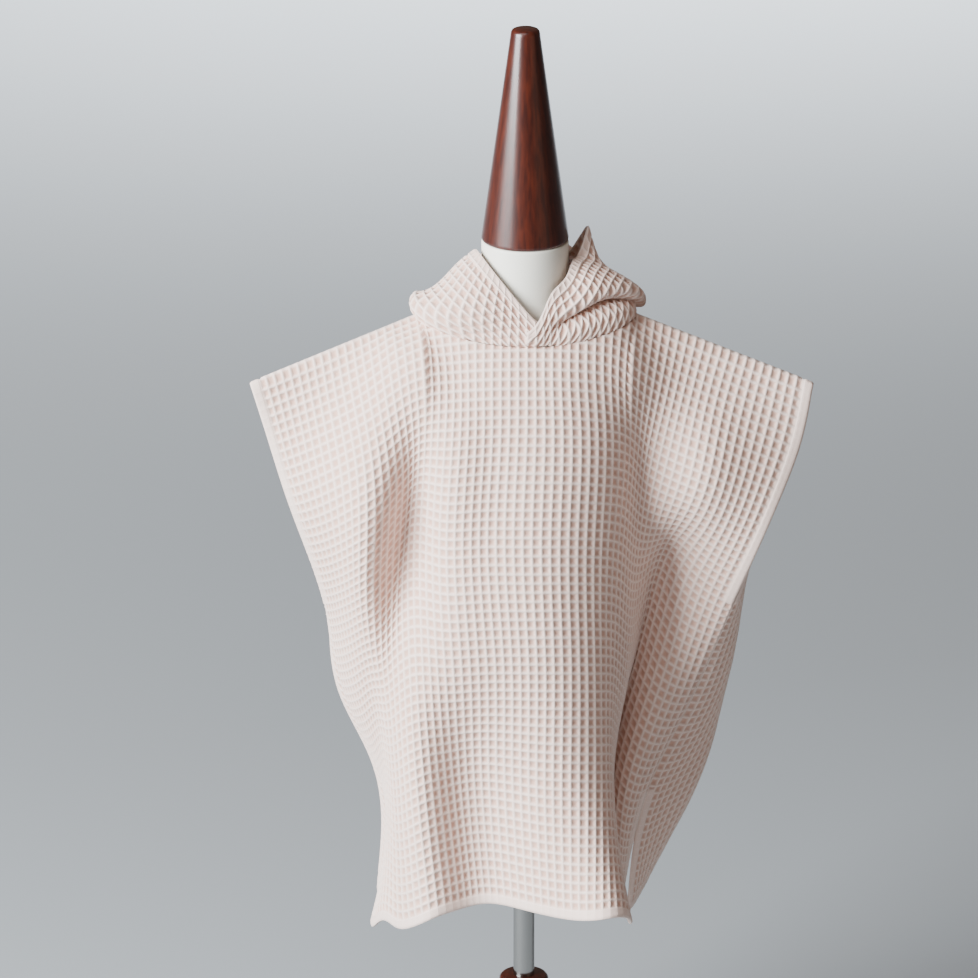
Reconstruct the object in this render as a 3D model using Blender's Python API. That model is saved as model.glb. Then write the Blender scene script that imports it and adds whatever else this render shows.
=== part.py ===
"""Hooded bath poncho in waffle cotton, worn by a limbless dress form on a wooden tripod.

Metres, +Z up, floor at z = 0, origin under the pole, wearer faces -Y.
Each panel is one wall. A thread of the cloth hangs from the shoulder line and keeps its
length: the tables say where each fold stands in plan, and the height follows from the
thread. "across" is measured along the cloth from the panel's middle, "down" from the
shoulder line.
"""
import bpy
import bmesh
import math
import numpy as np

MM = 0.001

# Cloth, flat sizes
PANEL_HALF_WIDTH = 300 * MM
PANEL_LENGTH = 650 * MM
NECK_HALF_WIDTH = 112 * MM
FRONT_NECK_DROP = 54 * MM
BACK_NECK_DROP = 25 * MM
ARMHOLE_END = 260 * MM
SIDE_SEAM_END = 500 * MM
CLOTH = 2.5 * MM
SEAM_GAP = 0.3 * MM
HOOD_SEAM_LIFT = 1.15 * MM                   # the neckline twists, so its gap narrows to 0.3
SEAM_PULL_FROM = 190 * MM

# Where the garment hangs
SHOULDER_LEFT = (-106 * MM, -278 * MM)       # x of neck end and tip
SHOULDER_RIGHT = (110 * MM, 292 * MM)
SHOULDER_NECK_Z = 963.5 * MM
SHOULDER_TIP_Z = 889 * MM
FRONT_NECK = (-58 * MM, 949 * MM)            # y, z at the middle of the neckline
BACK_NECK = (53 * MM, 973 * MM)

# Dress form
NECK_TOP_Z = 1045 * MM
NECK_RADIUS = 44 * MM
CONE_HEIGHT = 220 * MM
CONE_TOP_RADIUS = 14 * MM
POLE_RADIUS = 11 * MM
HUB_RADIUS = 26 * MM
HUB_TOP_Z = 240 * MM
HUB_HEIGHT = 110 * MM
LEG_FOOT_RADIUS = 190 * MM

LAP_ENDS_AT = 34                             # degrees round the neck from the front
NECK_COLUMNS = 13
WING_COLUMNS = 11
PANEL_ROWS = 21
HOOD_ROWS = 14
ROUND_SIDES = 28

# Distance down the cloth of the plan sections, after the yoke section
SECTIONS_DOWN = (130, 260, 385, 500, 650)
YOKE_SHARE = 0.45

# A row for each fold: across, then (x, y) at the yoke and at each section down, in mm
FRONT_FOLDS = (
    ("side left", -300, (-261, -1), (-240, -3), (-204, 24), (-182, 54), (-143, 76), (-158, 66)),
    ("wing left", -240, (-212, -16), (-199, -44), (-184, -28), (-166, 2), (-142, 24), (-154, 13)),
    ("wing swell left", -190, (-168, -34), (-157, -70), (-158, -66), (-147, -42), (-136, -28), (-136, -38)),
    ("drag fold left", -140, (-125, -50), (-118, -62), (-122, -38), (-120, -76), (-114, -96), (-101, -108)),
    ("ridge left", -85, (-76, -59), (-76, -77), (-82, -84), (-77, -98), (-72, -86), (-58, -95)),
    ("trough", -40, (-37, -70), (-37, -81), (-42, -94), (-34, -102), (-32, -88), (-22, -99)),
    ("middle", 0, (2, -73), (2, -83), (-2, -98), (4, -105), (5, -102), (12, -123)),
    ("column right", 40, (40, -70), (42, -80), (39, -93), (42, -100), (42, -107), (46, -146)),
    ("ridge right", 80, (78, -57), (80, -65), (76, -72), (76, -77), (77, -88), (80, -164)),
    ("flank", 115, (107, -42), (105, -42), (97, -46), (92, -48), (88, -56), (103, -146)),
    ("valley", 150, (136, -26), (124, -26), (109, -19), (101, -22), (88, -26), (108, -106)),
    ("wing swell right", 215, (194, -20), (180, -42), (142, 20), (114, 32), (88, 28), (99, -30)),
    ("wing right", 250, (229, -15), (211, -36), (170, 10), (134, 14), (102, 8), (98, 20)),
    ("side right", 300, (281, -6), (256, -25), (213, 3), (173, 36), (128, 44), (99, 58)),
)
BACK_FOLDS = (
    ("side left", -300, (-260, 3), (-238, 8), (-204, 24), (-182, 54), (-143, 76), (-147, 96)),
    ("wing left", -240, (-213, 14), (-202, 36), (-188, 76), (-190, 108), (-152, 132), (-148, 150)),
    ("swell left", -190, (-170, 26), (-162, 56), (-150, 104), (-152, 144), (-118, 176), (-116, 188)),
    ("fold left", -140, (-127, 38), (-122, 66), (-112, 98), (-112, 132), (-84, 152), (-80, 158)),
    ("valley left", -85, (-77, 57), (-76, 78), (-72, 110), (-72, 102), (-52, 112), (-50, 114)),
    ("middle left", -40, (-37, 64), (-36, 84), (-34, 132), (-40, 126), (-22, 148), (-24, 148)),
    ("middle", 0, (2, 66), (2, 86), (4, 140), (-3, 142), (18, 150), (12, 160)),
    ("middle right", 40, (40, 64), (40, 84), (42, 136), (36, 140), (50, 124), (42, 134)),
    ("valley right", 80, (78, 57), (76, 80), (76, 120), (72, 122), (72, 90), (62, 104)),
    ("fold right", 120, (110, 46), (106, 66), (108, 98), (112, 104), (110, 124), (64, 142)),
    ("swell right", 160, (146, 32), (141, 54), (148, 94), (152, 118), (148, 138), (92, 170)),
    ("bulge right", 215, (196, 22), (190, 46), (200, 76), (206, 104), (190, 107), (130, 132)),
    ("wing right", 250, (230, 14), (224, 32), (222, 48), (208, 75), (168, 79), (122, 100)),
    ("side right", 300, (282, 3), (257, 4), (213, 3), (173, 36), (128, 44), (108, 62)),
)

# A row for each section of a hood half: angle from the front, then (radius, height) in mm
# from just above the neck seam to the face edge
HOOD_LEFT = (
    (-12, (58, 956), (57, 960), (56, 964), (55, 967.5), (54, 970.5), (53, 974)),
    (20, (60, 960), (59, 968), (57, 978), (55, 988), (52, 998), (50, 1007)),
    (45, (72, 963), (75, 973), (74, 985), (68, 998), (58, 1013), (48.5, 1025)),
    (90, (113, 972), (112, 981), (102, 986), (86, 996), (64, 1019), (48, 1032)),
    (122, (97, 979), (108, 968), (115, 960), (106, 967), (80, 988), (49.5, 1018)),
    (150, (79, 983), (108, 940), (134, 921), (144, 948), (112, 982), (55, 1028)),
    (180, (70, 984), (117, 865), (138, 829), (151, 875), (126, 975), (62, 1037)),
)
HOOD_RIGHT = (
    (-3, (64, 957.5), (64, 958.5), (64, 959.5), (63.5, 960.5), (63.5, 961.5), (63, 962.5)),
    (12, (64, 961), (63.5, 964), (63, 967), (62, 970), (61, 973), (60, 975.5)),
    (25, (64, 961), (62, 968), (61, 976), (59, 984), (56, 990), (53.5, 996)),
    (46, (73, 969), (56, 975), (68, 986), (64, 993), (58, 1001), (50.5, 1010)),
    (62, (83, 974), (57, 982), (79, 995), (74, 1004), (62, 1011), (49, 1017)),
    (78, (98, 979), (66, 986), (96, 997), (86, 1006), (67, 1016), (48.5, 1024)),
    (92, (108, 975), (82, 979), (116, 985), (106, 996), (82, 1011), (54, 1030)),
    (104, (106, 976), (98, 979), (122, 966), (114, 981), (84, 1003), (64, 1052)),
    (124, (96, 981), (109, 970), (126, 959), (120, 970), (92, 993), (56, 1022)),
    (150, (79, 983), (110, 940), (136, 921), (146, 950), (114, 992), (57, 1031)),
    (180, (70, 984), (117, 865), (138, 829), (151, 875), (126, 975), (62, 1037)),
)

# Rings of the torso: height, half width, half depth in mm
TORSO_RINGS = (
    (1045, 44, 44), (1004, 44, 44), (988, 46, 44), (978, 54, 44.5), (968, 76, 45),
    (960, 96, 46), (952, 111.5, 48), (942, 121.5, 51), (925, 128, 57), (895, 127, 65),
    (860, 122, 70), (820, 113, 73), (770, 103, 74), (710, 95, 74), (650, 91, 75),
    (600, 90, 75), (566, 88, 74), (553, 82, 69), (548, 70, 57),
)
TORSO_SQUARENESS = 2.1


def spline(knots, values, at):
    """Natural cubic through the values, which may be points."""
    knots = np.asarray(knots, float)
    values = np.asarray(values, float)
    at = np.asarray(at, float)
    gap = np.diff(knots)
    count = len(knots)
    left = np.eye(count)
    right = np.zeros_like(values)
    for i in range(1, count - 1):
        left[i, i - 1:i + 2] = gap[i - 1], 2 * (gap[i - 1] + gap[i]), gap[i]
        right[i] = 6 * ((values[i + 1] - values[i]) / gap[i] - (values[i] - values[i - 1]) / gap[i - 1])
    bend = np.linalg.solve(left, right.reshape(count, -1)).reshape(values.shape)
    k = np.clip(np.searchsorted(knots, at) - 1, 0, count - 2)
    shape = (-1,) + (1,) * (values.ndim - 1)
    h = gap[k].reshape(shape)
    a = (knots[k + 1] - at).reshape(shape)
    b = (at - knots[k]).reshape(shape)
    return ((bend[k] * a ** 3 + bend[k + 1] * b ** 3) / (6 * h)
            + (values[k] / h - bend[k] * h / 6) * a
            + (values[k + 1] / h - bend[k + 1] * h / 6) * b)


def smooth_step(x):
    x = min(max(x, 0.0), 1.0)
    return x * x * (3 - 2 * x)


def unit(v):
    return v / max(np.linalg.norm(v), 1e-12)


class Panel:
    """The inner skin of the front or back panel as a function of across and down."""

    def __init__(self, folds, facing, neck, neck_drop, seam_mate=None):
        self.folds = folds
        self.seam_mate = seam_mate
        self.facing = facing
        self.neck_y, self.neck_z = neck
        self.neck_drop = neck_drop
        self.threads = {}

    def top(self, across):
        """Distance down at which the cloth starts: the neck scoop."""
        share = abs(across) / NECK_HALF_WIDTH
        return self.neck_drop * math.sqrt(1 - share * share) if share < 1 else 0.0

    def start(self, across):
        """The point of the shoulder line or neckline."""
        neck_x, tip_x = SHOULDER_RIGHT if across > 0 else SHOULDER_LEFT
        share = abs(across) / NECK_HALF_WIDTH
        if share >= 1:
            out = (abs(across) - NECK_HALF_WIDTH) / (PANEL_HALF_WIDTH - NECK_HALF_WIDTH)
            return np.array((neck_x + out * (tip_x - neck_x), 0.0,
                             SHOULDER_NECK_Z + out * (SHOULDER_TIP_Z - SHOULDER_NECK_Z)))
        round_in = math.sqrt(1 - share * share)
        left_x, right_x = SHOULDER_LEFT[0], SHOULDER_RIGHT[0]
        x = (left_x + right_x) / 2 + across / NECK_HALF_WIDTH * (right_x - left_x) / 2
        return np.array((x, self.neck_y * round_in,
                         SHOULDER_NECK_Z + (self.neck_z - SHOULDER_NECK_Z) * (1 - share * share)))

    def hang(self, across):
        """One thread by itself: distances down and points, at close steps."""
        knots = [row[1] * MM for row in self.folds]
        plan = [spline(knots, [row[level] for row in self.folds], [across])[0] * MM
                for level in range(2, 8)]
        top = self.top(across)
        start = self.start(across)
        first = SECTIONS_DOWN[0] * MM
        downs = [top, top + YOKE_SHARE * (first - top)] + [d * MM for d in SECTIONS_DOWN]
        steps = np.linspace(top, PANEL_LENGTH, 200)
        xy = spline(downs, [start[:2]] + plan, steps)
        run = np.linalg.norm(np.diff(xy, axis=0), axis=1)
        step = steps[1] - steps[0]
        fall = np.sqrt(np.maximum(step ** 2 - run ** 2, (0.3 * step) ** 2))
        z = start[2] - np.concatenate(([0.0], np.cumsum(fall)))
        return steps, np.column_stack((xy, z))

    def thread(self, across):
        """A thread eased towards the mate's near the side seam, where the two are sewn."""
        if across not in self.threads:
            steps, path = self.hang(across)
            near_side = smooth_step((abs(across) - SEAM_PULL_FROM) / (PANEL_HALF_WIDTH - SEAM_PULL_FROM))
            if self.seam_mate is not None and near_side > 0:
                edge = math.copysign(PANEL_HALF_WIDTH, across)
                pull = self.seam_mate.hang(edge)[1] - self.hang(edge)[1]
                sewn = (steps >= ARMHOLE_END) & (steps <= SIDE_SEAM_END)
                pull[~sewn, :2] = 0
                path += near_side * pull
            self.threads[across] = (steps, path)
        return self.threads[across]

    def point(self, across, down):
        steps, path = self.thread(across)
        down = min(max(down, steps[0]), steps[-1])
        at = np.array([np.interp(down, steps, path[:, axis]) for axis in range(3)])
        return at + np.array((0, self.facing * SEAM_GAP / 2, 0))

    def own_normal(self, across, down):
        step = 4 * MM
        low = max(across - step, -PANEL_HALF_WIDTH)
        high = min(across + step, PANEL_HALF_WIDTH)
        floor = max(self.top(low), self.top(high), self.top(across))
        down = max(down, floor)
        along = self.point(high, down) - self.point(low, down)
        fall = (self.point(across, min(down + step, PANEL_LENGTH))
                - self.point(across, max(down - step, self.top(across))))
        return unit(np.cross(fall, along)) * -self.facing


def shoulder_normal(across):
    slope = 0.4 if across > 0 else -0.4
    return unit(np.array((slope, 0.0, 1.0)))


def wall_direction(panel, other, across, down):
    """Where the outer skin lies from the inner one: shared by both panels on a seam."""
    own = panel.own_normal(across, down)
    below_top = down - panel.top(across)
    if abs(across) >= NECK_HALF_WIDTH - 30 * MM and below_top < 1 * MM:
        share = smooth_step((abs(across) - NECK_HALF_WIDTH + 30 * MM) / (30 * MM))
        return unit(own * (1 - share) + shoulder_normal(across) * share)
    to_side = (abs(across) - PANEL_HALF_WIDTH + 20 * MM) / (20 * MM)
    if to_side > 0:
        into_seam = smooth_step((down - ARMHOLE_END + 50 * MM) / (50 * MM))
        past_seam = smooth_step((down - SIDE_SEAM_END) / (70 * MM))
        share = into_seam * (1 - past_seam) * smooth_step(to_side)
        both = unit(own + other.own_normal(across, down))
        return unit(own * (1 - share) + both * share)
    return own


def new_object(name, mesh, colour, roughness, metallic=0.0):
    thing = bpy.data.objects.new(name, mesh)
    bpy.context.scene.collection.objects.link(thing)
    material = bpy.data.materials.new(name)
    material.use_nodes = True
    shader = material.node_tree.nodes["Principled BSDF"]
    shader.inputs["Base Color"].default_value = (*colour, 1.0)
    shader.inputs["Roughness"].default_value = roughness
    shader.inputs["Metallic"].default_value = metallic
    mesh.materials.append(material)
    return thing


def wall_mesh(name, inner, outer):
    """A closed wall between two grids of points, rows by columns."""
    rows, columns = len(inner), len(inner[0])
    bm = bmesh.new()
    skins = [[[bm.verts.new(p) for p in row] for row in skin] for skin in (inner, outer)]
    for skin in skins:
        for i in range(rows - 1):
            for j in range(columns - 1):
                bm.faces.new((skin[i][j], skin[i][j + 1], skin[i + 1][j + 1], skin[i + 1][j]))
    ring = ([(0, j) for j in range(columns)] + [(i, columns - 1) for i in range(1, rows)]
            + [(rows - 1, j) for j in range(columns - 2, -1, -1)]
            + [(i, 0) for i in range(rows - 2, 0, -1)])
    for (i, j), (k, m) in zip(ring, ring[1:] + ring[:1]):
        bm.faces.new((skins[0][i][j], skins[0][k][m], skins[1][k][m], skins[1][i][j]))
    bmesh.ops.recalc_face_normals(bm, faces=bm.faces)
    mesh = bpy.data.meshes.new(name)
    bm.to_mesh(mesh)
    bm.free()
    mesh.shade_smooth()
    return mesh


def neck_columns():
    return np.linspace(-1, 1, NECK_COLUMNS) * NECK_HALF_WIDTH


def panel_columns():
    """Across positions, with one on each end of the neckline."""
    wing = np.linspace(NECK_HALF_WIDTH, PANEL_HALF_WIDTH, WING_COLUMNS + 1)[1:]
    return np.concatenate((-wing[::-1], neck_columns(), wing))


def panel_object(name, panel, other, colour):
    inner, outer = [], []
    shares = np.linspace(0, 1, PANEL_ROWS) ** 1.15
    for share in shares:
        inner.append([])
        outer.append([])
        for across in panel_columns():
            top = panel.top(across)
            down = top + share * (PANEL_LENGTH - top)
            skin = panel.point(across, down)
            inner[-1].append(skin)
            outer[-1].append(skin + CLOTH * wall_direction(panel, other, across, down))
    return new_object(name, wall_mesh(name, inner, outer), colour, 0.9)


def neck_seam(front, back, side, lap):
    """The panels' neckline from the front lap round to the back: points and wall directions.

    It has the panels' own corners and the middles between them, so the hood's edge follows it.
    """
    ring = []
    columns = neck_columns() * side
    half = NECK_COLUMNS // 2
    for panel, other, order in ((front, back, columns[half - lap:]), (back, front, columns[half:-1][::-1])):
        for across in order:
            top = panel.top(across)
            at = panel.point(across, top)
            if abs(across) == NECK_HALF_WIDTH:
                at[1] = 0.0
            ring.append((at, wall_direction(panel, other, across, top)))
    fine = [ring[0]]
    for before, after in zip(ring, ring[1:]):
        fine += [((before[0] + after[0]) / 2, (before[1] + after[1]) / 2), after]
    return fine


def hood_object(name, table, side, front, back, colour, lap, over_lap):
    """Half of the hood, from the front lap round to the seam at the back."""
    knots = [row[0] for row in table]
    heights = np.linspace(0, 1, HOOD_ROWS)
    skins, walls = [], []
    seams = neck_seam(front, back, side, lap)
    for number, (seam, seam_wall) in enumerate(seams):
        at_back = number == len(seams) - 1
        angle = 180 if at_back else math.degrees(math.atan2(side * seam[0], -seam[1]))
        lifted = seam + np.array((0, 0, HOOD_SEAM_LIFT))
        lifted = lifted + over_lap * smooth_step((LAP_ENDS_AT - angle) / LAP_ENDS_AT)
        section = [np.array((math.hypot(lifted[0], lifted[1]), lifted[2]))]
        for level in range(1, 7):
            section.append(spline(knots, [row[level] for row in table], [max(angle, knots[0])])[0] * MM)
        section = np.array(section)
        length = np.concatenate(([0.0], np.cumsum(np.linalg.norm(np.diff(section, axis=0), axis=1))))
        curve = spline(length / length[-1], section, heights)
        turn = math.radians(angle)
        points = [np.array((side * p[0] * math.sin(turn), -p[0] * math.cos(turn), p[1])) for p in curve]
        if at_back:
            points = [np.array((side * SEAM_GAP / 2 + seam[0], p[0], p[1])) for p in curve]
            lifted[0] = side * SEAM_GAP / 2 + seam[0]
        points[0] = lifted
        skins.append(points)
        walls.append(seam_wall)
    columns = len(skins)
    inner = [[skins[j][i] for j in range(columns)] for i in range(HOOD_ROWS)]
    outer = []
    for i in range(HOOD_ROWS):
        outer.append([])
        for j in range(columns):
            up = inner[min(i + 1, HOOD_ROWS - 1)][j] - inner[max(i - 1, 0)][j]
            round_neck = inner[i][min(j + 1, columns - 1)] - inner[i][max(j - 1, 0)]
            out = unit(np.cross(up, round_neck)) * -side
            if i == 0:
                out = walls[j]
            if j == columns - 1:
                out = unit(out * np.array((0, 1, 1)))
            outer[-1].append(inner[i][j] + CLOTH * out)
    return new_object(name, wall_mesh(name, inner, outer), colour, 0.9)


def turned(name, outline, colour, roughness, metallic=0.0, sides=ROUND_SIDES):
    """A solid of revolution about the pole from (radius, height) pairs, bottom to top."""
    bm = bmesh.new()
    rings = []
    for radius, height in outline:
        rings.append([bm.verts.new((radius * math.cos(a), radius * math.sin(a), height))
                      for a in np.arange(sides) * 2 * math.pi / sides])
    close_rings(bm, rings)
    return rounded_object(name, bm, colour, roughness, metallic)


def close_rings(bm, rings):
    for low, high in zip(rings, rings[1:]):
        for i in range(len(low)):
            j = (i + 1) % len(low)
            bm.faces.new((low[i], low[j], high[j], high[i]))
    bm.faces.new(rings[0][::-1])
    bm.faces.new(rings[-1])


def rounded_object(name, bm, colour, roughness, metallic=0.0):
    bmesh.ops.recalc_face_normals(bm, faces=bm.faces)
    mesh = bpy.data.meshes.new(name)
    bm.to_mesh(mesh)
    bm.free()
    mesh.shade_smooth()
    mesh.set_sharp_from_angle(angle=math.radians(35))
    return new_object(name, mesh, colour, roughness, metallic)


def torso_object():
    bm = bmesh.new()
    rings = []
    for height, half_width, half_depth in TORSO_RINGS[::-1]:
        power = 2 / TORSO_SQUARENESS
        if height >= 988:
            power = 1.0
        ring = []
        for i in range(36):
            a = i * 2 * math.pi / 36
            x = math.copysign(abs(math.cos(a)) ** power, math.cos(a)) * half_width
            y = math.copysign(abs(math.sin(a)) ** power, math.sin(a)) * half_depth
            ring.append(bm.verts.new((x * MM, y * MM, height * MM)))
        rings.append(ring)
    close_rings(bm, rings)
    return rounded_object("torso", bm, (0.80, 0.78, 0.70), 0.55)


def leg_object(name, turn):
    """A straight tapered leg from the hub's side down to a flat foot."""
    knee_z = HUB_TOP_Z - 55 * MM
    hub_reach = HUB_RADIUS + SEAM_GAP
    path = ((hub_reach, knee_z, 13 * MM), (HUB_RADIUS + 30 * MM, knee_z + 2 * MM, 12.5 * MM),
            (HUB_RADIUS + 60 * MM, knee_z - 14 * MM, 12 * MM),
            (LEG_FOOT_RADIUS - 40 * MM, 34 * MM, 9.5 * MM),
            (LEG_FOOT_RADIUS - 14 * MM, 13 * MM, 9 * MM), (LEG_FOOT_RADIUS, 0, 9 * MM))
    bm = bmesh.new()
    rings = []
    for i, (out, height, radius) in enumerate(path):
        last = i == len(path) - 1
        before = path[max(i - 1, 0)]
        after = path[min(i + 1, len(path) - 1)]
        lean = math.atan2(before[1] - after[1], after[0] - before[0])
        if i == 0:
            lean = 0.0
        if last:
            lean = math.pi / 2
        ring = []
        for k in range(14):
            a = k * 2 * math.pi / 14
            side, up = radius * math.cos(a), radius * math.sin(a)
            along = out + up * math.sin(lean)
            ring.append(bm.verts.new((along * math.cos(turn) - side * math.sin(turn),
                                      along * math.sin(turn) + side * math.cos(turn),
                                      height + up * math.cos(lean))))
        rings.append(ring)
    close_rings(bm, rings)
    return rounded_object(name, bm, (0.10, 0.035, 0.02), 0.3)


def build():
    for thing in list(bpy.data.objects):
        bpy.data.objects.remove(thing, do_unlink=True)
    front = Panel(FRONT_FOLDS, -1, FRONT_NECK, FRONT_NECK_DROP)
    back = Panel(BACK_FOLDS, 1, BACK_NECK, BACK_NECK_DROP, seam_mate=front)
    cloth = (0.82, 0.72, 0.69)
    panel_object("front_panel", front, back, cloth)
    panel_object("back_panel", back, front, cloth)
    under = np.zeros(3)
    over = np.array((0, -1.9 * CLOTH, 1.6 * CLOTH))
    hood_object("hood_left", HOOD_LEFT, -1, front, back, (0.84, 0.74, 0.71), 1, under)
    hood_object("hood_right", HOOD_RIGHT, 1, front, back, (0.80, 0.68, 0.64), 0, over)
    torso_object()
    wood = (0.14, 0.035, 0.02)
    cone_base = NECK_TOP_Z + SEAM_GAP
    top = cone_base + CONE_HEIGHT
    turned("neck_cone", ((NECK_RADIUS - 1 * MM, cone_base), (NECK_RADIUS, cone_base + 2 * MM),
                         (CONE_TOP_RADIUS + 0.5 * MM, top - 3 * MM), (CONE_TOP_RADIUS - 3 * MM, top)),
           wood, 0.2)
    torso_base = TORSO_RINGS[-1][0] * MM
    turned("pole", ((POLE_RADIUS, HUB_TOP_Z + SEAM_GAP), (POLE_RADIUS, torso_base - SEAM_GAP)),
           (0.6, 0.6, 0.6), 0.15, 1.0)
    hub_base = HUB_TOP_Z - HUB_HEIGHT
    turned("hub", ((HUB_RADIUS - 10 * MM, hub_base), (HUB_RADIUS, hub_base + 10 * MM),
                   (HUB_RADIUS, HUB_TOP_Z - 4 * MM), (HUB_RADIUS - 4 * MM, HUB_TOP_Z)), wood, 0.25)
    for i in range(3):
        leg_object(f"leg_{i + 1}", math.radians(270 + 120 * i))


build()
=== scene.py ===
import bpy
import math
import numpy as np
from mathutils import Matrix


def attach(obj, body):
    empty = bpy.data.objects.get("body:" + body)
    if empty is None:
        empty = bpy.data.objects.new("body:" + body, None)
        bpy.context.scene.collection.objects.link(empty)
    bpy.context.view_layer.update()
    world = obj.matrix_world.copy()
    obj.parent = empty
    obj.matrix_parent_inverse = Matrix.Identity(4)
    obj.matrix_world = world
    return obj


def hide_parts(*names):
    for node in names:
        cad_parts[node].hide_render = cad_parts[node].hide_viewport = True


# hooded bath poncho in waffle cotton, worn by a limbless dress form on a tripod
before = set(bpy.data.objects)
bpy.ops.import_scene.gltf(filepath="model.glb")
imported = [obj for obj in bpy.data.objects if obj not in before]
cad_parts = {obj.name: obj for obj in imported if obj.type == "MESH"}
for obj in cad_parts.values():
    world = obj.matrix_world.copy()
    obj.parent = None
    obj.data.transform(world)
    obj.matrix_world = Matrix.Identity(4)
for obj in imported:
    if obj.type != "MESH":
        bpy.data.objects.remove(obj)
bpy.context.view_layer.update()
mm = 0.001
print("frame loaded")


def deselectAll():
    if bpy.context.object and bpy.context.object.mode != "OBJECT":
        bpy.ops.object.mode_set(mode="OBJECT")
    bpy.ops.object.select_all(action="DESELECT")


def activate(piece):
    deselectAll()
    bpy.context.view_layer.objects.active = piece
    piece.select_set(True)


def softStep(x):
    x = np.clip(x, 0.0, 1.0)
    return x * x * (3 - 2 * x)


def unitRows(v):
    return v / np.maximum(np.linalg.norm(v, axis=-1, keepdims=True), 1e-12)


def spline(knots, values, at):
    # natural cubic through the values, which may be points
    knots = np.asarray(knots, float)
    values = np.asarray(values, float)
    at = np.asarray(at, float)
    gap = np.diff(knots)
    count = len(knots)
    left = np.eye(count)
    right = np.zeros_like(values)
    for i in range(1, count - 1):
        left[i, i - 1:i + 2] = gap[i - 1], 2 * (gap[i - 1] + gap[i]), gap[i]
        right[i] = 6 * ((values[i + 1] - values[i]) / gap[i] - (values[i] - values[i - 1]) / gap[i - 1])
    bend = np.linalg.solve(left, right.reshape(count, -1)).reshape(values.shape)
    k = np.clip(np.searchsorted(knots, at) - 1, 0, count - 2)
    shape = (-1,) + (1,) * (values.ndim - 1)
    h = gap[k].reshape(shape)
    a = (knots[k + 1] - at).reshape(shape)
    b = (at - knots[k]).reshape(shape)
    return ((bend[k] * a ** 3 + bend[k + 1] * b ** 3) / (6 * h)
            + (values[k] / h - bend[k] * h / 6) * a
            + (values[k + 1] / h - bend[k + 1] * h / 6) * b)


def newMaterial(name, colour, roughness, metallic=0.0):
    material = bpy.data.materials.new(name)
    material.use_nodes = True
    shader = material.node_tree.nodes["Principled BSDF"]
    shader.inputs["Base Color"].default_value = (*colour, 1)
    shader.inputs["Roughness"].default_value = roughness
    shader.inputs["Metallic"].default_value = metallic
    return material, shader, material.node_tree


def link(tree, fromSocket, toSocket):
    tree.links.new(fromSocket, toSocket)


def mathNode(tree, operation, *values):
    node = tree.nodes.new("ShaderNodeMath")
    node.operation = operation
    for socket, value in zip(node.inputs, values):
        if isinstance(value, (int, float)):
            socket.default_value = value
        else:
            link(tree, value, socket)
    return node.outputs[0]


waffle = {
    "cells": 68,
    "cellAcross": 600 / 68 * mm,
    "cellDown": 650 / 68 * mm,
    "depth": 2.2 * mm,
    "ribPower": 1.6,
    # the colour power and the pocket colour paint shade into the hollows of the weave, darker and warmer
    # than the lit ribs
    "pocketShadePower": 2.2,
    "ridgeColour": (0.88, 0.71, 0.63),
    "pocketPaintedShade": (0.66, 0.41, 0.32),
}


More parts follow.
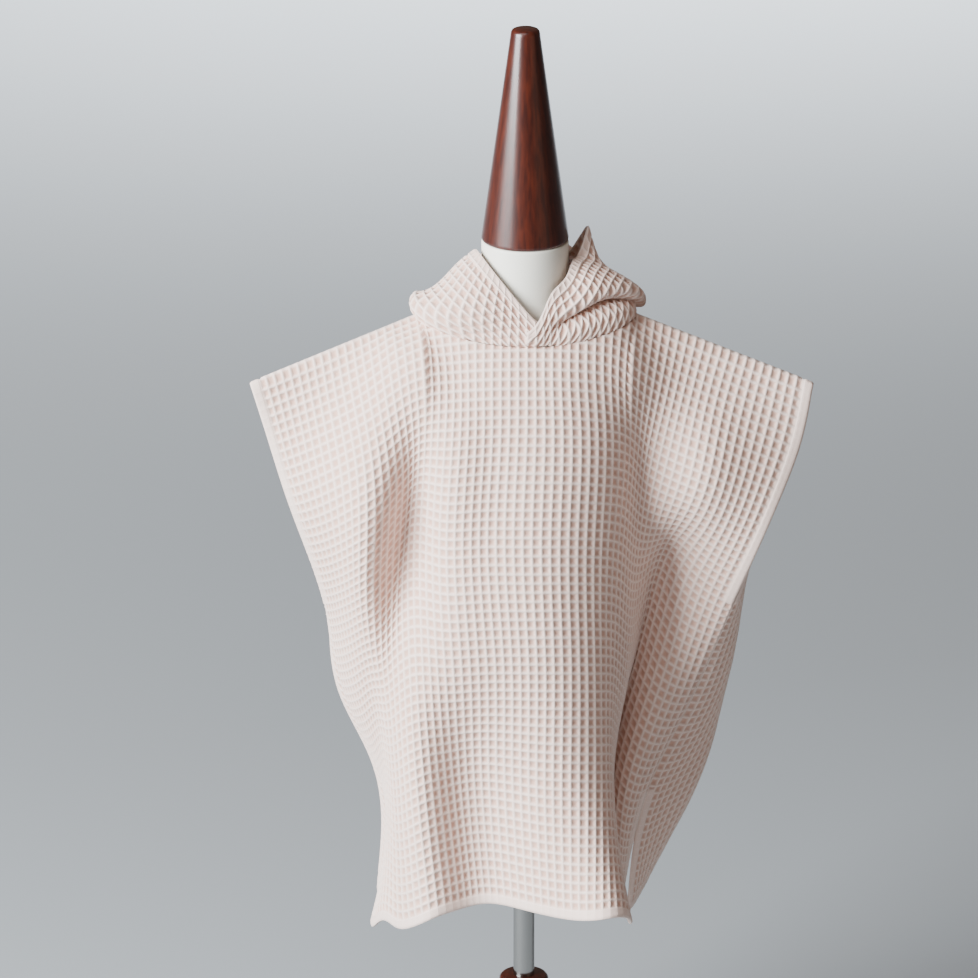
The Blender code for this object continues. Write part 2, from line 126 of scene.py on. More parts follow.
def waffleMaterial():
    # pockets painted darker and warmer than the ribs as shade in the hollows, with yarn, slubs and fuzz
    # on top
    material, shader, tree = newMaterial("waffleCloth", waffle["ridgeColour"], 0.92)
    shader.inputs["Sheen Weight"].default_value = 0.25
    shader.inputs["Sheen Roughness"].default_value = 0.5
    shader.inputs["Specular IOR Level"].default_value = 0.25
    uv = tree.nodes.new("ShaderNodeUVMap")
    uv.uv_map = "UVMap"
    parts = tree.nodes.new("ShaderNodeSeparateXYZ")
    link(tree, uv.outputs[0], parts.inputs[0])
    ridges = []
    for axis, cell in ((0, waffle["cellAcross"]), (1, waffle["cellDown"])):
        turn = mathNode(tree, "MULTIPLY", parts.outputs[axis], 2 * math.pi / cell)
        wave = mathNode(tree, "COSINE", turn)
        rise = mathNode(tree, "MULTIPLY_ADD", wave, 0.5, 0.5)
        ridges.append(mathNode(tree, "POWER", rise, waffle["pocketShadePower"]))
    weave = mathNode(tree, "MAXIMUM", ridges[0], ridges[1])
    edges = tree.nodes.new("ShaderNodeAttribute")
    edges.attribute_name = "pressedFlat"
    # the painted pocket shade fades out on the pressed-flat turned edges
    pocket = mathNode(tree, "MAXIMUM", weave, mathNode(tree, "MULTIPLY", edges.outputs["Fac"], 0.85))
    # painted shade: the pockets are mixed towards the darker pocket colour
    mix = tree.nodes.new("ShaderNodeMix")
    mix.data_type = "RGBA"
    mix.inputs["A"].default_value = (*waffle["pocketPaintedShade"], 1)
    mix.inputs["B"].default_value = (*waffle["ridgeColour"], 1)
    link(tree, pocket, mix.inputs["Factor"])
    cloud = tree.nodes.new("ShaderNodeTexNoise")
    cloud.inputs["Scale"].default_value = 9.0
    cloud.inputs["Detail"].default_value = 3.0
    coords = tree.nodes.new("ShaderNodeTexCoord")
    link(tree, coords.outputs["Object"], cloud.inputs["Vector"])
    tint = tree.nodes.new("ShaderNodeMix")
    tint.data_type = "RGBA"
    tint.blend_type = "MULTIPLY"
    tint.inputs["B"].default_value = (0.93, 0.90, 0.89, 1)
    link(tree, mathNode(tree, "MULTIPLY", cloud.outputs[0], 0.35), tint.inputs["Factor"])
    link(tree, mix.outputs["Result"], tint.inputs["A"])
    link(tree, tint.outputs["Result"], shader.inputs["Base Color"])
    yarn = tree.nodes.new("ShaderNodeTexNoise")
    yarn.inputs["Scale"].default_value = 1500.0
    yarn.inputs["Detail"].default_value = 2.0
    stretch = tree.nodes.new("ShaderNodeMapping")
    stretch.inputs["Scale"].default_value = (1.0, 0.35, 1.0)
    link(tree, uv.outputs[0], stretch.inputs[0])
    link(tree, stretch.outputs[0], yarn.inputs["Vector"])
    bump = tree.nodes.new("ShaderNodeBump")
    bump.inputs["Strength"].default_value = 0.35
    bump.inputs["Distance"].default_value = 0.4 * mm
    link(tree, yarn.outputs[0], bump.inputs["Height"])
    ribs = tree.nodes.new("ShaderNodeBump")
    ribs.inputs["Strength"].default_value = 0.7
    ribs.inputs["Distance"].default_value = 1.2 * mm
    link(tree, pocket, ribs.inputs["Height"])
    link(tree, bump.outputs[0], ribs.inputs["Normal"])
    link(tree, ribs.outputs[0], shader.inputs["Normal"])
    return material


def woodMaterial():
    # red-brown stain under gloss varnish, the grain running up the piece
    material, shader, tree = newMaterial("varnishedWood", (0.05, 0.009, 0.004), 0.33)
    shader.inputs["Coat Weight"].default_value = 0.45
    shader.inputs["Coat Roughness"].default_value = 0.14
    coords = tree.nodes.new("ShaderNodeTexCoord")
    stretch = tree.nodes.new("ShaderNodeMapping")
    stretch.inputs["Scale"].default_value = (1.0, 1.0, 0.06)
    link(tree, coords.outputs["Object"], stretch.inputs[0])
    grain = tree.nodes.new("ShaderNodeTexNoise")
    grain.inputs["Scale"].default_value = 260.0
    grain.inputs["Detail"].default_value = 6.0
    link(tree, stretch.outputs[0], grain.inputs["Vector"])
    ramp = tree.nodes.new("ShaderNodeValToRGB")
    ramp.color_ramp.elements[0].position = 0.36
    ramp.color_ramp.elements[0].color = (0.029, 0.005, 0.003, 1)
    ramp.color_ramp.elements[1].position = 0.66
    ramp.color_ramp.elements[1].color = (0.066, 0.011, 0.0045, 1)
    link(tree, grain.outputs[0], ramp.inputs[0])
    link(tree, ramp.outputs[0], shader.inputs["Base Color"])
    bump = tree.nodes.new("ShaderNodeBump")
    bump.inputs["Strength"].default_value = 0.06
    bump.inputs["Distance"].default_value = 0.3 * mm
    link(tree, grain.outputs[0], bump.inputs["Height"])
    link(tree, bump.outputs[0], shader.inputs["Normal"])
    return material


def formMaterial():
    # smooth off-white jersey cover, faintly mottled
    material, shader, tree = newMaterial("formCover", (0.80, 0.78, 0.69), 0.5)
    coords = tree.nodes.new("ShaderNodeTexCoord")
    mottle = tree.nodes.new("ShaderNodeTexNoise")
    mottle.inputs["Scale"].default_value = 14.0
    link(tree, coords.outputs["Object"], mottle.inputs["Vector"])
    ramp = tree.nodes.new("ShaderNodeValToRGB")
    ramp.color_ramp.elements[0].color = (0.76, 0.74, 0.65, 1)
    ramp.color_ramp.elements[1].color = (0.84, 0.82, 0.73, 1)
    link(tree, mottle.outputs[0], ramp.inputs[0])
    link(tree, ramp.outputs[0], shader.inputs["Base Color"])
    weave = tree.nodes.new("ShaderNodeTexNoise")
    weave.inputs["Scale"].default_value = 1800.0
    link(tree, coords.outputs["Object"], weave.inputs["Vector"])
    bump = tree.nodes.new("ShaderNodeBump")
    bump.inputs["Strength"].default_value = 0.08
    bump.inputs["Distance"].default_value = 0.2 * mm
    link(tree, weave.outputs[0], bump.inputs["Height"])
    link(tree, bump.outputs[0], shader.inputs["Normal"])
    return material


def chromeMaterial():
    # polished tube, smeared here and there by handling
    material, shader, tree = newMaterial("poleMetal", (0.37, 0.365, 0.35), 0.14, 1.0)
    coords = tree.nodes.new("ShaderNodeTexCoord")
    smear = tree.nodes.new("ShaderNodeTexNoise")
    smear.inputs["Scale"].default_value = 40.0
    link(tree, coords.outputs["Object"], smear.inputs["Vector"])
    rough = tree.nodes.new("ShaderNodeMapRange")
    rough.inputs["To Min"].default_value = 0.10
    rough.inputs["To Max"].default_value = 0.24
    link(tree, smear.outputs[0], rough.inputs["Value"])
    link(tree, rough.outputs[0], shader.inputs["Roughness"])
    return material


clothMaterial = waffleMaterial()
woodFinish = woodMaterial()
formFinish = formMaterial()
chromeFinish = chromeMaterial()
print("materials ready")

# the cut of a panel, where its edges are held, and the levels its folds are read at in mm
cut = {
    "halfWidth": 300 * mm,
    "length": 650 * mm,
    "neckHalf": 112 * mm,
    "armholeEnd": 260 * mm,
    "sideSeamEnd": 500 * mm,
    "wall": 2.0 * mm,
    "seamGap": 0.15 * mm,
    "hem": 12 * mm,
    "shoulderLeft": (-106 * mm, -278 * mm),
    "shoulderRight": (110 * mm, 292 * mm),
    "shoulderNeckZ": 963.5 * mm,
    "shoulderTipZ": 889 * mm,
    "sections": (130, 260, 385, 500, 650),
    "yokeShare": 0.45,
    "pullFrom": 190 * mm,
}

# a row for each fold: across, then x, y at the yoke and at each section down, in mm
frontFolds = (
    ("side left", -300, (-261, -1), (-240, -3), (-204, 24), (-182, 54), (-143, 76), (-158, 66)),
    ("wing left", -240, (-212, -16), (-199, -44), (-184, -28), (-166, 2), (-142, 24), (-154, 13)),
    ("swell left", -190, (-168, -34), (-157, -70), (-158, -66), (-147, -42), (-136, -28), (-136, -38)),
    ("drag left", -140, (-125, -50), (-118, -62), (-122, -38), (-120, -76), (-114, -96), (-101, -108)),
    ("ridge left", -85, (-76, -59), (-76, -77), (-82, -84), (-77, -98), (-72, -86), (-58, -95)),
    ("trough", -40, (-37, -70), (-37, -81), (-42, -94), (-34, -102), (-32, -88), (-22, -99)),
    ("middle", 0, (2, -73), (2, -83), (-2, -98), (4, -105), (5, -102), (12, -123)),
    ("column right", 40, (40, -70), (42, -80), (39, -93), (42, -100), (42, -107), (46, -146)),
    ("ridge right", 80, (78, -57), (80, -65), (76, -72), (76, -77), (77, -88), (80, -164)),
    ("flank", 115, (107, -42), (105, -42), (97, -46), (92, -48), (88, -56), (103, -146)),
    ("valley", 150, (136, -26), (124, -26), (109, -19), (101, -22), (88, -26), (108, -106)),
    ("swell right", 215, (194, -20), (180, -42), (142, 20), (114, 32), (88, 28), (99, -30)),
    ("wing right", 250, (229, -15), (211, -36), (170, 10), (134, 14), (102, 8), (98, 20)),
    ("side right", 300, (281, -6), (256, -25), (213, 3), (173, 36), (128, 44), (99, 58)),
)
backFolds = (
    ("side left", -300, (-260, 3), (-238, 8), (-204, 24), (-182, 54), (-143, 76), (-147, 96)),
    ("wing left", -240, (-213, 14), (-202, 36), (-188, 76), (-190, 108), (-152, 132), (-148, 150)),
    ("swell left", -190, (-170, 26), (-162, 56), (-150, 104), (-152, 144), (-118, 176), (-116, 188)),
    ("fold left", -140, (-127, 38), (-122, 66), (-112, 98), (-112, 132), (-84, 152), (-80, 158)),
    ("valley left", -85, (-77, 57), (-76, 78), (-72, 110), (-72, 102), (-52, 112), (-50, 114)),
    ("middle left", -40, (-37, 64), (-36, 84), (-34, 132), (-40, 126), (-22, 148), (-24, 148)),
    ("middle", 0, (2, 66), (2, 86), (4, 140), (-3, 142), (18, 150), (12, 160)),
    ("middle right", 40, (40, 64), (40, 84), (42, 136), (36, 140), (50, 124), (42, 134)),
    ("valley right", 80, (78, 57), (76, 80), (76, 120), (72, 122), (72, 90), (62, 104)),
    ("fold right", 120, (110, 46), (106, 66), (108, 98), (112, 104), (110, 124), (64, 142)),
    ("swell right", 160, (146, 32), (141, 54), (148, 94), (152, 118), (148, 138), (92, 170)),
    ("bulge right", 215, (196, 22), (190, 46), (200, 76), (206, 104), (190, 107), (130, 132)),
    ("wing right", 250, (230, 14), (224, 32), (222, 48), (208, 75), (168, 79), (122, 100)),
    ("side right", 300, (282, 3), (257, 4), (213, 3), (173, 36), (128, 44), (108, 62)),
)
frontPanel = {"folds": frontFolds, "facing": -1, "drop": 54 * mm, "neckY": -58 * mm, "neckZ": 949 * mm,
              "samplesPerCell": 4}
backPanel = {"folds": backFolds, "facing": 1, "drop": 25 * mm, "neckY": 53 * mm, "neckZ": 973 * mm,
             "samplesPerCell": 4}


def neckScoop(panel, across):
    # how far below the shoulder line the cut edge of the neck lies
    share = abs(across) / cut["neckHalf"]
    return panel["drop"] * math.sqrt(1 - share * share) if share < 1 else 0.0


def threadStart(panel, across):
    # where a thread begins: along the shoulder seam, or round the neckline between the seams
    neckX, tipX = cut["shoulderRight"] if across > 0 else cut["shoulderLeft"]
    share = abs(across) / cut["neckHalf"]
    if share >= 1:
        out = (abs(across) - cut["neckHalf"]) / (cut["halfWidth"] - cut["neckHalf"])
        z = cut["shoulderNeckZ"] + out * (cut["shoulderTipZ"] - cut["shoulderNeckZ"])
        return np.array((neckX + out * (tipX - neckX), 0.0, z))
    leftX, rightX = cut["shoulderLeft"][0], cut["shoulderRight"][0]
    x = (leftX + rightX) / 2 + across / cut["neckHalf"] * (rightX - leftX) / 2
    inward = 1 - share * share
    z = cut["shoulderNeckZ"] + (panel["neckZ"] - cut["shoulderNeckZ"]) * inward
    return np.array((x, panel["neckY"] * math.sqrt(inward), z))


def hangThread(panel, across, plan):
    # a thread keeps its length, so its height follows from how far it travels in plan
    top = neckScoop(panel, across)
    start = threadStart(panel, across)
    first = cut["sections"][0] * mm
    downs = [top, top + cut["yokeShare"] * (first - top)] + [d * mm for d in cut["sections"]]
    steps = np.linspace(top, cut["length"], 300)
    xy = spline(downs, [start[:2]] + plan, steps)
    run = np.linalg.norm(np.diff(xy, axis=0), axis=1)
    step = steps[1] - steps[0]
    fall = np.sqrt(np.maximum(step ** 2 - run ** 2, (0.3 * step) ** 2))
    z = start[2] - np.concatenate(([0.0], np.cumsum(fall)))
    return steps, np.column_stack((xy, z))


def hangPanel(panel, columns, mate):
    # every thread of the panel; beside a mate, its side seams are drawn onto the mate's
    folds = panel["folds"]
    knots = [row[1] * mm for row in folds]
    planes = [spline(knots, [row[level] for row in folds], columns) * mm
              for level in range(2, len(folds[0]))]
    threads = []
    for number, across in enumerate(columns):
        threads.append(list(hangThread(panel, across, [plane[number] for plane in planes])))
    if mate is not None:
        for edge, mateThread in ((0, mate[0]), (len(columns) - 1, mate[-1])):
            pull = mateThread[1] - threads[edge][1]
            steps = threads[edge][0]
            sewn = (steps >= cut["armholeEnd"]) & (steps <= cut["sideSeamEnd"])
            pull[~sewn, :2] = 0
            side = math.copysign(1, columns[edge])
            for number, across in enumerate(columns):
                near = (side * across - cut["pullFrom"]) / (cut["halfWidth"] - cut["pullFrom"])
                if near > 0:
                    threads[number][1] = threads[number][1] + softStep(near) * pull
    return threads


def readThreads(threads, downs):
    # points at each distance down, run on in a straight line above the cut edge
    grid = np.zeros((len(downs), len(threads), 3))
    for number, (steps, path) in enumerate(threads):
        for axis in range(3):
            grid[:, number, axis] = np.interp(downs, steps, path[:, axis])
        above = downs < steps[0]
        slope = (path[3] - path[0]) / (steps[3] - steps[0])
        grid[above, number] = path[0] + (downs[above] - steps[0])[:, None] * slope
    return grid


def panelNormals(panel, grid, columns, downs):
    # outward from the cloth, turned upward along the shoulder seam so that the two walls meet
    alongCloth = np.gradient(grid, axis=1)
    downCloth = np.gradient(grid, axis=0)
    normals = unitRows(np.cross(downCloth, alongCloth)) * -panel["facing"]
    wing = softStep((np.abs(columns) - cut["neckHalf"] + 30 * mm) / (30 * mm))
    near = softStep(1 - downs / (7 * mm))
    upright = np.stack((0.37 * np.sign(columns), np.zeros_like(columns), np.full_like(columns, 0.93)),
                       axis=1)
    share = (near[:, None] * wing[None, :])[:, :, None]
    return unitRows(normals * (1 - share) + upright[None] * share)


def freeEdge(across, down):
    # distance to the nearest turned edge: wing, vent or hem
    side = cut["halfWidth"] - np.abs(across)
    onSeam = (down > cut["armholeEnd"]) & (down < cut["sideSeamEnd"])
    return np.minimum(np.where(onSeam, 1.0, side), cut["length"] - down)


def pressed(edge, width):
    # 1 inside the turned edge, where the iron and the stitching flatten the weave
    return softStep((width + 1 * mm - edge) / (2.5 * mm))


def turnedEdge(edge, width, raised, sunk):
    # the turned edge stands proud, its stitching sinks a line and its rim rolls under
    proud = raised * softStep((width - edge) / (2.5 * mm))
    stitch = -sunk * np.exp(-((edge - width + 1.2 * mm) / (1.0 * mm)) ** 2)
    rolled = -1.2 * mm * softStep(1 - edge / (2.2 * mm))
    return proud + stitch + rolled


def panelEdges(across, down, top):
    # besides the turned edges, the cloth thins into the side seams and at the neck seam
    onSeam = (down > cut["armholeEnd"]) & (down < cut["sideSeamEnd"])
    seamSide = cut["halfWidth"] - np.abs(across)
    seam = np.where(onSeam, -1.7 * mm * softStep(1 - seamSide / (5 * mm)), 0.0)
    neck = -0.8 * mm * softStep(1 - (down - top) / (3 * mm)) * (np.abs(across) < cut["neckHalf"])
    return turnedEdge(freeEdge(across, down), cut["hem"], 0.9 * mm, 1.0 * mm) + seam + neck


def waffleRelief(u, v):
    # ribs both ways with square pockets between them
    ribU = (0.5 + 0.5 * np.cos(2 * math.pi * u / waffle["cellAcross"])) ** waffle["ribPower"]
    ribV = (0.5 + 0.5 * np.cos(2 * math.pi * v / waffle["cellDown"])) ** waffle["ribPower"]
    return waffle["depth"] * (np.maximum(ribU, ribV * 0.92) - 0.35)


def evenHeights(grid, columns, downs, tops):
    # level threads run on smoothly past the ends of the neck
    spread = 16 * mm
    step = columns[1] - columns[0]
    reach = int(3 * spread / step)
    kernel = np.exp(-0.5 * (np.arange(-reach, reach + 1) * step / spread) ** 2)
    kernel /= kernel.sum()
    heights = grid[:, :, 2]
    wide = np.pad(heights, ((0, 0), (reach, reach)), mode="edge")
    even = np.stack([np.convolve(row, kernel, mode="valid") for row in wide])
    near = softStep((95 * mm - np.abs(np.abs(columns) - cut["neckHalf"])) / (60 * mm))
    deep = softStep((downs[:, None] - tops[None, :] - 6 * mm) / (70 * mm))
    grid[:, :, 2] = heights + (even - heights) * near[None, :] * deep


def shellMesh(name, outer, inner, ratio, outerUv, innerUv, flatness):
    # a fine outer skin and a coarser inner one, closed round the edge
    rows, columns = outer.shape[:2]
    lowRows, lowColumns = inner.shape[:2]
    outerIndex = np.arange(rows * columns).reshape(rows, columns)
    innerIndex = np.arange(lowRows * lowColumns).reshape(lowRows, lowColumns) + rows * columns

    def quads(index, turned):
        a, b, c, d = index[:-1, :-1], index[:-1, 1:], index[1:, 1:], index[1:, :-1]
        order = (a, b, c, d) if turned else (d, c, b, a)
        return np.stack(order, axis=-1).reshape(-1, 4).tolist()

    faces = quads(outerIndex, True) + quads(innerIndex, False)

    def border(index):
        rim = (index[0, :-1], index[:-1, -1], index[-1, :0:-1], index[:0:-1, 0])
        return np.concatenate(rim).tolist()

    fine, coarse = border(outerIndex), border(innerIndex)
    for k in range(len(coarse)):
        run = [fine[(k * ratio + n) % len(fine)] for n in range(ratio + 1)]
        faces.append([coarse[k], coarse[(k + 1) % len(coarse)]] + run[::-1])
    points = np.concatenate((outer.reshape(-1, 3), inner.reshape(-1, 3)))
    uvs = np.concatenate((outerUv.reshape(-1, 2), innerUv.reshape(-1, 2)))
    mesh = bpy.data.meshes.new(name)
    mesh.from_pydata(points.tolist(), [], faces)
    layer = mesh.uv_layers.new(name="UVMap")
    corners = np.zeros(len(mesh.loops), dtype=np.int32)
    mesh.loops.foreach_get("vertex_index", corners)
    layer.data.foreach_set("uv", uvs[corners].reshape(-1).astype(np.float32))
    pressedFlat = mesh.attributes.new("pressedFlat", "FLOAT", "POINT")
    flat = np.concatenate((flatness.reshape(-1), np.zeros(lowRows * lowColumns)))
    pressedFlat.data.foreach_set("value", flat.astype(np.float32))
    piece = bpy.data.objects.new(name, mesh)
    bpy.context.scene.collection.objects.link(piece)
    activate(piece)
    bpy.ops.object.mode_set(mode="EDIT")
    bpy.ops.mesh.select_all(action="SELECT")
    bpy.ops.mesh.remove_doubles(threshold=0.00002)
    bpy.ops.mesh.dissolve_degenerate(threshold=0.00001)
    bpy.ops.mesh.select_all(action="SELECT")
    bpy.ops.mesh.normals_make_consistent(inside=False)
    bpy.ops.object.mode_set(mode="OBJECT")
    bpy.ops.object.shade_smooth()
    mesh.materials.append(clothMaterial)
    return piece


def makePanel(name, panel, mateThreads):
    count = waffle["cells"] * panel["samplesPerCell"]
    columns = np.linspace(-cut["halfWidth"], cut["halfWidth"], count + 1)
    downs = np.linspace(0, cut["length"], count + 1)
    threads = hangPanel(panel, columns, mateThreads)
    grid = readThreads(threads, downs)
    grid[:, :, 1] += panel["facing"] * cut["seamGap"]
    tops = np.array([neckScoop(panel, across) for across in columns])
    evenHeights(grid, columns, downs, tops)
    normals = panelNormals(panel, grid, columns, downs)
    clamped = np.maximum(downs[:, None], tops[None, :])
    skin = np.zeros_like(grid)
    direction = np.zeros_like(grid)
    for axis in range(3):
        for number in range(len(columns)):
            skin[:, number, axis] = np.interp(clamped[:, number], downs, grid[:, number, axis])
            direction[:, number, axis] = np.interp(clamped[:, number], downs, normals[:, number, axis])
    direction = unitRows(direction)
    across = np.broadcast_to(columns[None, :], clamped.shape)
    top = np.broadcast_to(tops[None, :], clamped.shape)
    flat = pressed(freeEdge(across, clamped), cut["hem"])
    height = (cut["wall"] + waffleRelief(across, clamped) * (1 - 0.8 * flat)
              + panelEdges(across, clamped, top))
    outer = skin + direction * height[:, :, None]
    uv = np.stack((across, clamped), axis=-1)
    ratio = panel["samplesPerCell"]
    piece = shellMesh(name, outer, skin[::ratio, ::ratio], ratio, uv, uv[::ratio, ::ratio], flat)
    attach(piece, "root")
    return piece, threads


frontPiece, frontThreads = makePanel("frontPanelCloth", frontPanel, None)
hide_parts("front_panel")
print("front panel hung")
backPiece = makePanel("backPanelCloth", backPanel, frontThreads)[0]
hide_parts("back_panel")
print("back panel hung")


# a row for each section: angle from the front, then radius and height in mm
hoodLeft = {"side": -1, "lap": 1, "sections": (
    (-12, (58, 956), (57, 960), (56, 964), (55, 967.5), (54, 970.5), (53, 974)),
    (20, (60, 960), (59, 968), (57, 978), (55, 988), (52, 998), (50, 1007)),
    (45, (72, 963), (75, 973), (74, 985), (68, 998), (58, 1013), (48.5, 1025)),
    (90, (113, 972), (112, 981), (102, 986), (86, 996), (64, 1019), (48, 1032)),
    (122, (97, 979), (108, 968), (115, 960), (106, 967), (80, 988), (49.5, 1018)),
    (150, (79, 983), (108, 940), (134, 921), (144, 948), (112, 982), (55, 1028)),
    (180, (70, 984), (117, 865), (138, 829), (151, 875), (126, 975), (62, 1037)),
)}
hoodRight = {"side": 1, "lap": 0, "sections": (
    (-3, (64, 957.5), (64, 958.5), (64, 959.5), (63.5, 960.5), (63.5, 961.5), (63, 962.5)),
    (12, (64, 961), (63.5, 964), (63, 967), (62, 970), (61, 973), (60, 975.5)),
    (25, (64, 961), (62, 968), (61, 976), (59, 984), (56, 990), (53.5, 996)),
    (46, (73, 969), (56, 975), (68, 986), (64, 993), (58, 1001), (50.5, 1010)),
    (62, (83, 974), (57, 982), (79, 995), (74, 1004), (62, 1011), (49, 1017)),
    (78, (98, 979), (66, 986), (96, 997), (86, 1006), (67, 1016), (48.5, 1024)),
    (92, (108, 975), (82, 979), (116, 985), (106, 996), (82, 1011), (54, 1030)),
    (104, (106, 976), (98, 979), (122, 966), (114, 981), (84, 1003), (64, 1052)),
    (124, (96, 981), (109, 970), (126, 959), (120, 970), (92, 993), (56, 1022)),
    (150, (79, 983), (110, 940), (136, 921), (146, 950), (114, 992), (57, 1031)),
    (180, (70, 984), (117, 865), (138, 829), (151, 875), (126, 975), (62, 1037)),
)}
hoodShape = {
    "columns": 180,
    "rows": 208,
    "ratio": 4,
    "hem": 12 * mm,
    "aboveNeck": 1.2 * mm,
    "lapEnds": 34,
    "lapOffset": (0, -4.7 * mm, 4.0 * mm),
    "girthAt": 0.6,
}


def neckRing(side, lap):
    # the neckline from the front lap round to the middle of the back
    reach = lap * cut["neckHalf"] / 6
    fronts = np.linspace(-reach, cut["neckHalf"], 80) * side
    backs = np.linspace(cut["neckHalf"], 0, 70)[1:] * side
    return np.array([threadStart(frontPanel, across) for across in fronts]
                    + [threadStart(backPanel, across) for across in backs])


def runLength(points):
    # distance travelled along a line of points
    return np.concatenate(([0.0], np.cumsum(np.linalg.norm(np.diff(points, axis=0), axis=1))))


def makeHood(name, half):
    # a wall that climbs from the neckline, section by section, to the free edge of the opening
    side = half["side"]
    ring = neckRing(side, half["lap"])
    run = runLength(ring)
    at = np.linspace(0, run[-1], hoodShape["columns"] + 1)
    seam = np.stack([np.interp(at, run, ring[:, axis]) for axis in range(3)], axis=1)
    seam[:, 2] += hoodShape["aboveNeck"]
    angles = np.degrees(np.arctan2(side * seam[:, 0], -seam[:, 1]))
    angles[-1] = 180
    angles[angles < -90] = 180
    knots = [row[0] for row in half["sections"]]
    levels = [spline(knots, [row[level] for row in half["sections"]], np.maximum(angles, knots[0])) * mm
              for level in range(1, len(half["sections"][0]))]
    heights = np.linspace(0, 1, hoodShape["rows"] + 1)
    skin = np.zeros((len(heights), len(at), 3))
    climb = np.zeros((len(heights), len(at)))
    for number in range(len(at)):
        foot = seam[number].copy()
        if side > 0:
            ease = softStep((hoodShape["lapEnds"] - angles[number]) / hoodShape["lapEnds"])
            foot += np.array(hoodShape["lapOffset"]) * ease
        base = (math.hypot(foot[0], foot[1]), foot[2])
        section = np.array([base] + [level[number] for level in levels])
        length = runLength(section)
        curve = spline(length / length[-1], section, heights)
        turn = math.radians(angles[number])
        skin[:, number, 0] = side * curve[:, 0] * math.sin(turn)
        skin[:, number, 1] = -curve[:, 0] * math.cos(turn)
        skin[:, number, 2] = curve[:, 1]
        if number == len(at) - 1:
            skin[:, number, 0] = side * cut["seamGap"] + seam[number, 0]
        climb[:, number] = runLength(curve)
    up = np.gradient(skin, axis=0)
    around = np.gradient(skin, axis=1)
    direction = unitRows(np.cross(up, around)) * -side
    direction[:, -1, 0] = 0
    direction = unitRows(direction)
    fromEdge = climb[-1][None, :] - climb
    girth = runLength(skin[int(hoodShape["girthAt"] * len(heights))])
    girth = np.broadcast_to(girth[None, :], climb.shape)
    joined = -0.8 * mm * softStep(1 - climb / (3 * mm))
    flat = pressed(fromEdge, hoodShape["hem"])
    height = (cut["wall"] + waffleRelief(fromEdge, girth) * (1 - 0.6 * flat)
              + turnedEdge(fromEdge, hoodShape["hem"], 0.8 * mm, 0.9 * mm) + joined)
    outer = skin + direction * height[:, :, None]
    uv = np.stack((fromEdge, girth), axis=-1)
    ratio = hoodShape["ratio"]
    piece = shellMesh(name, outer, skin[::ratio, ::ratio], ratio, uv, uv[::ratio, ::ratio], flat * 0.7)
    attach(piece, "root")
    return piece


hoodLeftPiece = makeHood("hoodLeftCloth", hoodLeft)
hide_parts("hood_left")
hoodRightPiece = makeHood("hoodRightCloth", hoodRight)
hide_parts("hood_right")
print("hood laid down")


def raiseRings(name, rings, sides, material, node, sharp=40):
    # a circle drawn up through its rings: height, half width, half depth in mm
    deselectAll()
    height, wide, deep = rings[0]
    bpy.ops.mesh.primitive_circle_add(vertices=sides, radius=1.0, fill_type="NGON", location=(0, 0, 0))
    piece = bpy.context.object
    piece.name = name
    bpy.ops.object.mode_set(mode="EDIT")
    bpy.ops.mesh.select_all(action="SELECT")
    bpy.ops.transform.resize(value=(wide * mm, deep * mm, 1))
    bpy.ops.transform.translate(value=(0, 0, height * mm))
    for nextHeight, nextWide, nextDeep in rings[1:]:
        lift = (nextHeight - height) * mm
        bpy.ops.mesh.extrude_region_move(TRANSFORM_OT_translate={"value": (0, 0, lift)})
        bpy.ops.transform.resize(value=(nextWide / wide, nextDeep / deep, 1))
        height, wide, deep = nextHeight, nextWide, nextDeep
    bpy.ops.mesh.select_all(action="SELECT")
    bpy.ops.mesh.normals_make_consistent(inside=False)
    bpy.ops.object.mode_set(mode="OBJECT")
    bpy.ops.object.shade_smooth_by_angle(angle=math.radians(sharp))
    piece.data.materials.append(material)
    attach(piece, "root")
    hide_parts(node)


torsoRings = (
    (548, 70, 57), (549, 74, 61), (553, 82, 69), (558, 85.5, 72), (566, 88, 74), (600, 90, 75),
    (650, 91, 75), (710, 95, 74), (770, 103, 74), (820, 113, 73), (860, 122, 70), (895, 127, 65),
    (925, 127.5, 56.5), (942, 121, 50.5), (952, 111, 47.5), (960, 95.5, 45.5), (968, 75.5, 44.8),
    (978, 54, 44.4), (985, 47.5, 44.1), (992, 45, 44), (1004, 44, 44), (1042, 44, 44),
    (1044.4, 43.6, 43.6), (1045, 42.5, 42.5),
)
raiseRings("torsoForm", torsoRings, 96, formFinish, "torso", 60)

coneRings = ((1045.3, 42.6, 42.6), (1046.0, 43.6, 43.6), (1047.4, 44, 44), (1049, 43.8, 43.8),
             (1259.5, 14.9, 14.9), (1262.3, 14.4, 14.4), (1264.3, 13.2, 13.2), (1265.2, 11.2, 11.2))
raiseRings("neckCone", coneRings, 96, woodFinish, "neck_cone", 60)
raiseRings("poleTube", ((240.3, 11, 11), (547.7, 11, 11)), 64, chromeFinish, "pole")
hubRings = ((130, 15, 15), (131, 18, 18), (134, 22, 22), (140, 25.5, 25.5), (144, 26, 26), (233, 26, 26),
            (237, 25.2, 25.2), (239, 23.6, 23.6), (240, 21.5, 21.5))
raiseRings("hubTurned", hubRings, 72, woodFinish, "hub")

# a leg's stations: distance out from the axis, height and bar radius
leg = {"sides": 32, "path": (
    (26.3 * mm, 185 * mm, 13 * mm), (41 * mm, 186.5 * mm, 12.8 * mm), (56 * mm, 185.5 * mm, 12.5 * mm),
    (71 * mm, 179 * mm, 12.2 * mm), (86 * mm, 169 * mm, 12 * mm), (150 * mm, 34 * mm, 9.5 * mm),
    (166 * mm, 20 * mm, 9.2 * mm), (180 * mm, 11 * mm, 9 * mm), (190 * mm, 0, 9 * mm),
)}


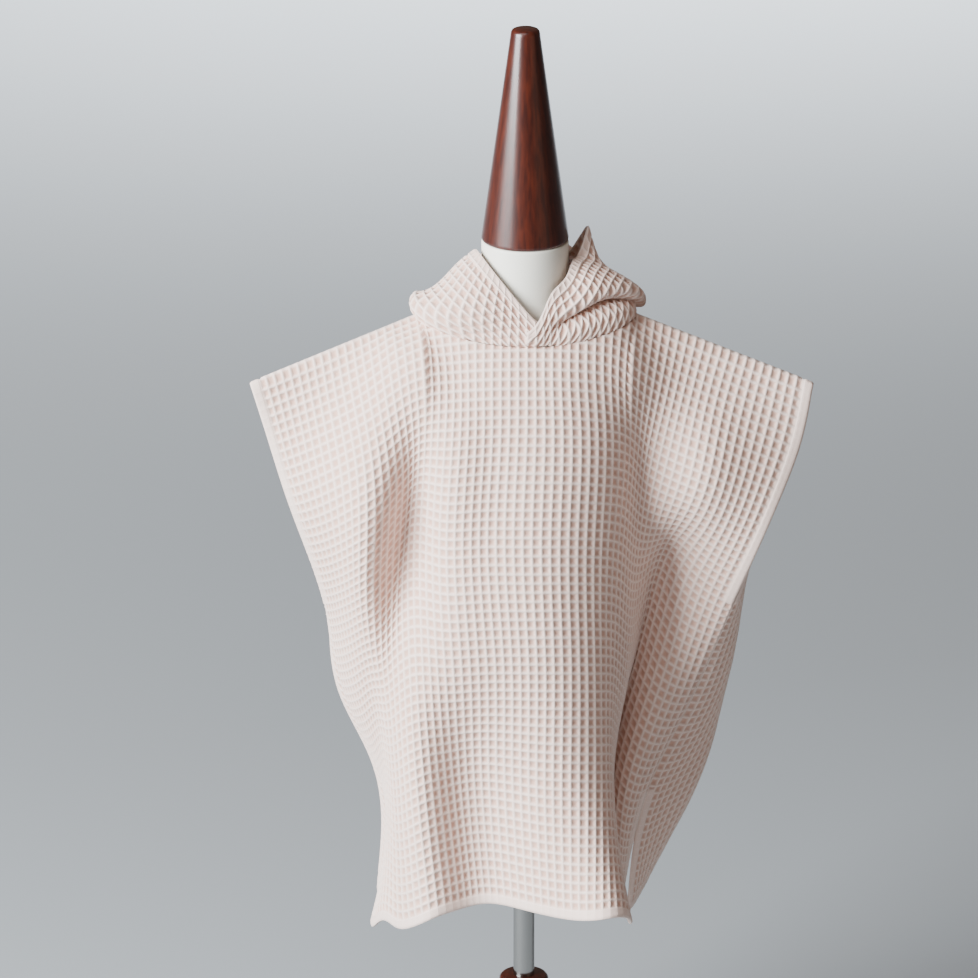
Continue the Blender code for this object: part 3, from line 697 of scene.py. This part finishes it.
def bendLeg(name, turn, node):
    # a round bar that leaves the hub level and ends on a flat foot
    path, sides = leg["path"], leg["sides"]
    points, faces = [], []
    for i, (out, height, radius) in enumerate(path):
        before, after = path[max(i - 1, 0)], path[min(i + 1, len(path) - 1)]
        lean = math.atan2(before[1] - after[1], after[0] - before[0])
        if i == 0:
            lean = 0.0
        if i == len(path) - 1:
            lean = math.pi / 2
        for k in range(sides):
            around = k * 2 * math.pi / sides
            across, up = radius * math.cos(around), radius * math.sin(around)
            along = out + up * math.sin(lean)
            points.append((along * math.cos(turn) - across * math.sin(turn),
                           along * math.sin(turn) + across * math.cos(turn),
                           height + up * math.cos(lean)))
    for i in range(len(path) - 1):
        for k in range(sides):
            j = (k + 1) % sides
            faces.append((i * sides + k, i * sides + j, (i + 1) * sides + j, (i + 1) * sides + k))
    faces.append(tuple(range(sides))[::-1])
    faces.append(tuple(range((len(path) - 1) * sides, len(path) * sides)))
    mesh = bpy.data.meshes.new(name)
    mesh.from_pydata(points, [], faces)
    piece = bpy.data.objects.new(name, mesh)
    bpy.context.scene.collection.objects.link(piece)
    activate(piece)
    bpy.ops.object.mode_set(mode="EDIT")
    bpy.ops.mesh.select_all(action="SELECT")
    bpy.ops.mesh.normals_make_consistent(inside=False)
    bpy.ops.object.mode_set(mode="OBJECT")
    bpy.ops.object.shade_smooth_by_angle(angle=math.radians(40))
    mesh.materials.append(woodFinish)
    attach(piece, "root")
    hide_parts(node)


for number in range(3):
    bendLeg(f"legBar{number + 1}", math.radians(270 + 120 * number), f"leg_{number + 1}")
print("dress form and stand built")

view = {"target": (-0.0363, 0.0, 0.7769), "distance": 8.0, "elevation": 20.0, "lens": 289.2,
        "sensor": 36}

studio = {
    "paper": (0.33, 0.355, 0.375),
    "air": (1.0, 0.74, 0.61, 1),
    "airStrength": 0.15,
    "floorSize": 30,
}
# name, place, aim, size, energy and colour of each soft light
studioLights = (
    ("windowLight", (-3.3, -2.1, 2.3), (0, 0, 0.75), 2.8, 820, (0.93, 0.97, 1.0)),
    ("softTop", (-1.2, -1.6, 4.2), (0, 0, 0.75), 3.0, 60, (0.95, 0.98, 1.0)),
    ("warmBounce", (3.2, -2.6, 1.2), (0, 0, 0.75), 2.6, 6, (1.0, 0.72, 0.56)),
    ("farGlow", (0.4, 5.6, 2.4), (0, 7.0, 0), 3.0, 640, (0.94, 0.97, 1.0)),
)


def makeStudio():
    # plain paper floor, a window to one side, a glow behind and a level camera
    deselectAll()
    bpy.ops.mesh.primitive_plane_add(size=studio["floorSize"], location=(0, 0, 0))
    floor = bpy.context.object
    floor.name = "studioFloor"
    paper = newMaterial("studioPaper", studio["paper"], 0.9)[0]
    floor.data.materials.append(paper)

    world = bpy.data.worlds.new("studioAir")
    bpy.context.scene.world = world
    world.use_nodes = True
    air = world.node_tree.nodes["Background"]
    air.inputs[0].default_value = studio["air"]
    air.inputs[1].default_value = studio["airStrength"]

    for name, place, target, size, power, colour in studioLights:
        lamp = bpy.data.lights.new(name, "AREA")
        lamp.size = size
        lamp.energy = power
        lamp.color = colour
        holder = bpy.data.objects.new(name, lamp)
        bpy.context.scene.collection.objects.link(holder)
        holder.location = place
        aim = np.array(target) - np.array(place)
        yaw = math.atan2(aim[0], aim[1])
        pitch = math.atan2(aim[2], math.hypot(aim[0], aim[1]))
        holder.rotation_euler = (math.pi / 2 + pitch, 0, -yaw)

    camera = bpy.data.cameras.new("viewCamera")
    camera.lens = view["lens"]
    camera.sensor_width = view["sensor"]
    cameraHolder = bpy.data.objects.new("viewCamera", camera)
    bpy.context.scene.collection.objects.link(cameraHolder)
    lift = math.radians(view["elevation"])
    x, y, z = view["target"]
    cameraHolder.location = (x, y - view["distance"] * math.cos(lift),
                             z + view["distance"] * math.sin(lift))
    cameraHolder.rotation_euler = (math.pi / 2 - lift, 0, 0)
    bpy.context.scene.camera = cameraHolder


makeStudio()
print("studio set")
